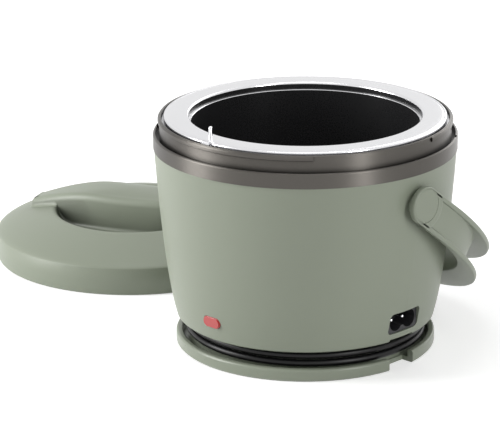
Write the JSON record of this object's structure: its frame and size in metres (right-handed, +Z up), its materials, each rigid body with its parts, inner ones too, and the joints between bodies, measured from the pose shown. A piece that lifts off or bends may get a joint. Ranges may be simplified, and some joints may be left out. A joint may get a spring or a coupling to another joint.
{
  "type": "electric lunch box",
  "caption": "Tapered electric food warmer with a steel pot in a heated well, a swinging bail handle, a lead wound on its base, and a twist-on domed lid set down beside it.",
  "frame": {"origin": "centre of the base's underside, on the table", "axes": "+Z up along the pot's axis, -Y towards the front with the power lamp, +X towards the power inlet and the right-hand handle pivot"},
  "size_m": [0.3325, 0.1971, 0.1293],
  "materials": {
    "sage_plastic": "satin, sage green",
    "ring_metal": "fine metallic graphite lacquer",
    "steel": "polished",
    "pot_steel": "polished rim, dark non-stick lining",
    "well_alloy": "plain drawn",
    "heater_foil": "silicone band",
    "wool": "felted",
    "dark_plastic": "fine grain",
    "plate_plastic": "fine grain",
    "ceramic": "ceramic sleeve",
    "red_lens": "clear red",
    "bulb_glass": "clear",
    "wire_blue": "insulated",
    "wire_grey": "silicone insulated",
    "wire_red": "insulated",
    "brass": "bright",
    "cord_rubber": "smooth",
    "pad_rubber": "matt",
    "seal_rubber": "soft silicone",
    "liner_plastic": "smooth"
  },
  "bodies": {
    "base": {"base_tray": "sage_plastic", "foot_pads": "pad_rubber", "base_screws": "steel", "bottom_plate": "plate_plastic", "outer_shell": "sage_plastic", "collar_ring": "ring_metal", "heating_well": "well_alloy", "heater_band": "heater_foil", "band_strap": "steel", "insulation_sleeve": "wool", "thermostat": "dark_plastic", "thermostat_bracket": "steel", "thermal_fuse": "ceramic", "fuse_clip": "steel", "inlet_socket": "dark_plastic", "inlet_pins": "steel", "inlet_screws": "steel", "lamp_lens": "red_lens", "lamp_bulb": "bulb_glass", "lamp_holder": "plate_plastic", "mains_wires": "wire_blue", "heater_wires": "wire_grey", "lamp_wires": "wire_red", "power_cord": "cord_rubber", "cord_connector": "cord_rubber", "plug_body": "cord_rubber", "plug_blades": "brass"},
    "pot": {"food_pot": "pot_steel", "locating_pin": "steel", "pin_bracket": "well_alloy", "pin_clip": "steel"},
    "handle": {"carry_handle": "sage_plastic", "handle_cap_left": "sage_plastic", "handle_cap_right": "sage_plastic", "pivot_pin_left": "steel", "pivot_pin_right": "steel", "pivot_washer_left": "brass", "pivot_washer_right": "brass"},
    "lid": {"lid_shell": "sage_plastic", "lid_liner": "liner_plastic", "lid_gasket": "seal_rubber"}
  },
  "joints": [
    {"name": "handle_hinge", "type": "hinge", "parent": "base", "child": "handle", "pos_m": [0, 0, 0.0903], "axis": [1, 0, 0], "range_deg": [0, 254]},
    {"name": "pot_lift", "type": "slide", "parent": "base", "child": "pot", "axis": [0, 0, 1], "range_m": [0, 0.075]},
    {"name": "lid_lift", "type": "slide", "parent": "base", "child": "lid", "axis": [0, 0, 1], "range_m": [0, 0.15]}
  ]
}
